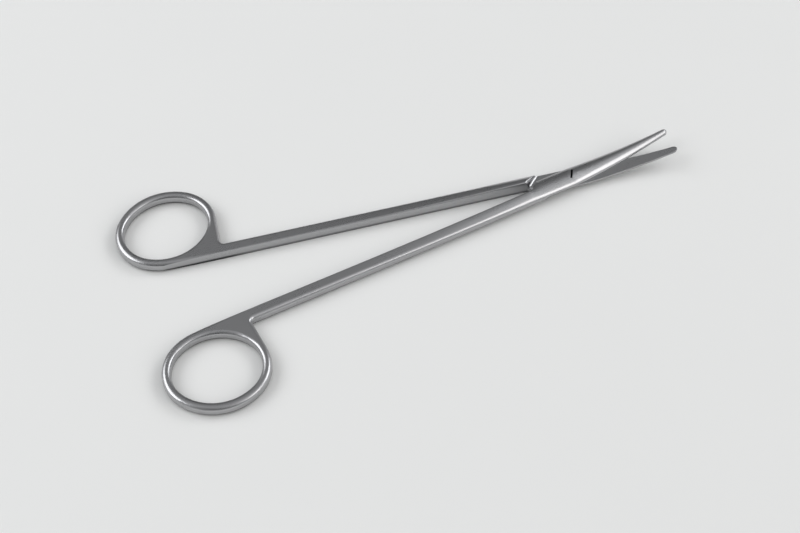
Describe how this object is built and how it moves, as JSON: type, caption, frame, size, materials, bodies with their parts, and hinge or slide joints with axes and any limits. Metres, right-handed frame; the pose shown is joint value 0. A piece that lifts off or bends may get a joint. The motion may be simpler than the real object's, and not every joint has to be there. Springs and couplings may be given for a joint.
{
  "type": "dissecting scissors",
  "caption": "Curved dissecting scissors with finger rings, long slim shanks, a screwed lap joint and short blunt blades that sweep upward.",
  "frame": {"origin": "pivot axis, on the plane the scissors rest on", "axes": "+X from the finger rings towards the blade tips, midway between the open halves; +Z along the pivot axis, up from the table, the way the blades curve"},
  "size_m": [0.1777, 0.083, 0.0073],
  "materials": {
    "forged_steel": "satin",
    "screw_steel": "satin"
  },
  "bodies": {
    "lower": {"lower_half": "forged_steel", "pivot_screw": "screw_steel"},
    "upper": {"upper_half": "forged_steel"}
  },
  "joints": [
    {"name": "pivot", "type": "hinge", "parent": "lower", "child": "upper", "pos_m": [0, 0, 0.00245], "axis": [0, 0, 1], "range_deg": [-11.6, 95]}
  ]
}
